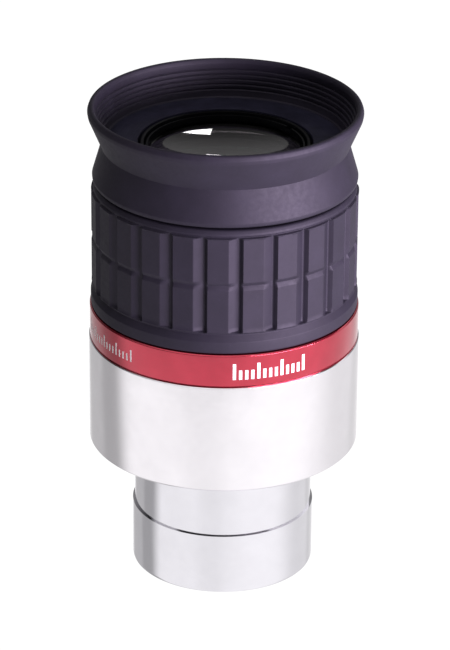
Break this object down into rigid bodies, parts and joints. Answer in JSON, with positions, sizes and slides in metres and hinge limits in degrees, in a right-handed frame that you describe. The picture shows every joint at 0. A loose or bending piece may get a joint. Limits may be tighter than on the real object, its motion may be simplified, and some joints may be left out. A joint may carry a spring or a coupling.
{
  "type": "telescope eyepiece",
  "caption": "Long focal length telescope eyepiece with a chrome nosepiece, polished body, red band, padded rubber grip and a twist-up fold-down eyecup.",
  "frame": {"origin": "centre of the nosepiece's open end, which is the bottom centre of the bounding box", "axes": "+Z along the optical axis, from the nosepiece towards the eye; the guide tube's first helical slot starts on the -Y side"},
  "size_m": [0.0469, 0.0468, 0.085],
  "materials": {
    "chrome_plate": "bright chrome plate",
    "polished_aluminium": "finely turned and polished",
    "red_anodised": "red anodised, satin gloss",
    "black_anodised": "black anodised",
    "matt_black_metal": "blackened, matt",
    "black_plastic": "moulded, satin",
    "grip_rubber": "moulded rubber, satin",
    "eyecup_rubber": "soft moulded rubber, satin",
    "seal_rubber": "greased rubber",
    "steel": "bright",
    "optical_glass": "polished",
    "coated_glass": "polished, antireflection coated"
  },
  "bodies": {
    "root": {"nosepiece_barrel": "chrome_plate", "barrel_baffle": "matt_black_metal", "field_stop": "matt_black_metal", "lower_body": "polished_aluminium", "accent_ring": "red_anodised", "band_screws": "steel", "guide_tube": "black_anodised", "friction_o_ring": "seal_rubber", "grip_retaining_ring": "steel", "lens_cell": "black_anodised", "field_lens_retaining_ring": "matt_black_metal", "field_doublet_flint": "optical_glass", "field_doublet_crown": "optical_glass", "lower_spacer": "matt_black_metal", "main_doublet_flint": "optical_glass", "main_doublet_crown": "optical_glass", "middle_spacer": "matt_black_metal", "middle_lens": "optical_glass", "upper_spacer": "matt_black_metal", "eye_lens": "coated_glass", "eye_lens_retaining_ring": "black_anodised"},
    "grip": {"grip_carrier": "black_plastic", "grip_rubber": "grip_rubber"},
    "eyecup": {"eyecup_sleeve": "black_plastic", "cam_pins": "steel", "eyecup_rubber": "eyecup_rubber"}
  },
  "joints": [
    {"name": "grip_twist", "type": "hinge", "parent": "root", "child": "grip", "pos_m": [0, 0, 0.0503], "axis": [0, 0, 1], "range_deg": [0, 110]},
    {"name": "eyecup_rise", "type": "slide", "parent": "grip", "child": "eyecup", "axis": [0, 0, 1], "range_m": [0, 0.009]}
  ],
  "couplings": [
    {"joint": "eyecup_rise", "follows": "grip_twist", "m_per_rad": 0.0046878}
  ]
}
